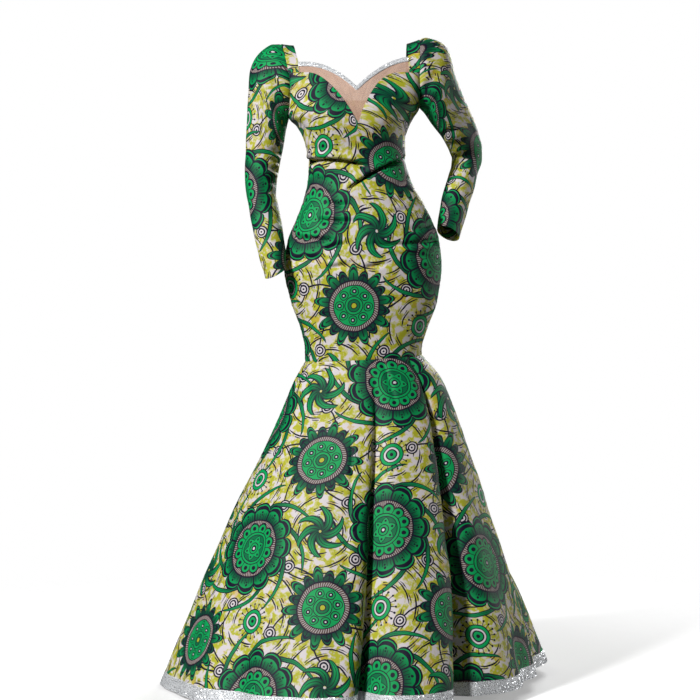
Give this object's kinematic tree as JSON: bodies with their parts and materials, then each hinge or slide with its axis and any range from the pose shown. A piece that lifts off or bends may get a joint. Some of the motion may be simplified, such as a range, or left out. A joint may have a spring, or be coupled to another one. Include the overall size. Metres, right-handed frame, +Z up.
{
  "type": "african print mermaid dress",
  "caption": "Long-sleeved mermaid dress in green wax print, sweetheart bodice under a sheer net neck, draped waist and flared skirt with a silver hem.",
  "frame": {"origin": "on the shoulder line, midway between the two shoulders that carry the dress", "axes": "+X to the right of a viewer who faces the front, +Y from the front to the back, +Z up"},
  "size_m": [0.8946, 0.8289, 1.4714],
  "materials": {
    "wax_print": "crisp printed cotton with a slight calendered sheen",
    "net": "fine sheer skin-toned net",
    "glitter_trim": "silver glitter ribbon, satin with bright flecks",
    "zip_metal": "semi-gloss enamelled zip slider and pull"
  },
  "bodies": {
    "dress": {"front_panel": "wax_print", "back_left": "wax_print", "back_right": "wax_print", "strap_left": "wax_print", "strap_right": "wax_print", "sleeve_left": "wax_print", "sleeve_right": "wax_print", "skirt_front": "wax_print", "skirt_back": "wax_print", "mesh_yoke": "net", "neck_trim": "glitter_trim", "hem_band": "glitter_trim", "zip_slider": "zip_metal"},
    "pull": {"zip_pull": "zip_metal"}
  },
  "joints": [
    {"name": "pull_swing", "type": "hinge", "parent": "dress", "child": "pull", "pos_m": [-0.0028, 0.1003, -0.1283], "axis": [1, 0, 0], "range_deg": [0, 150]}
  ]
}
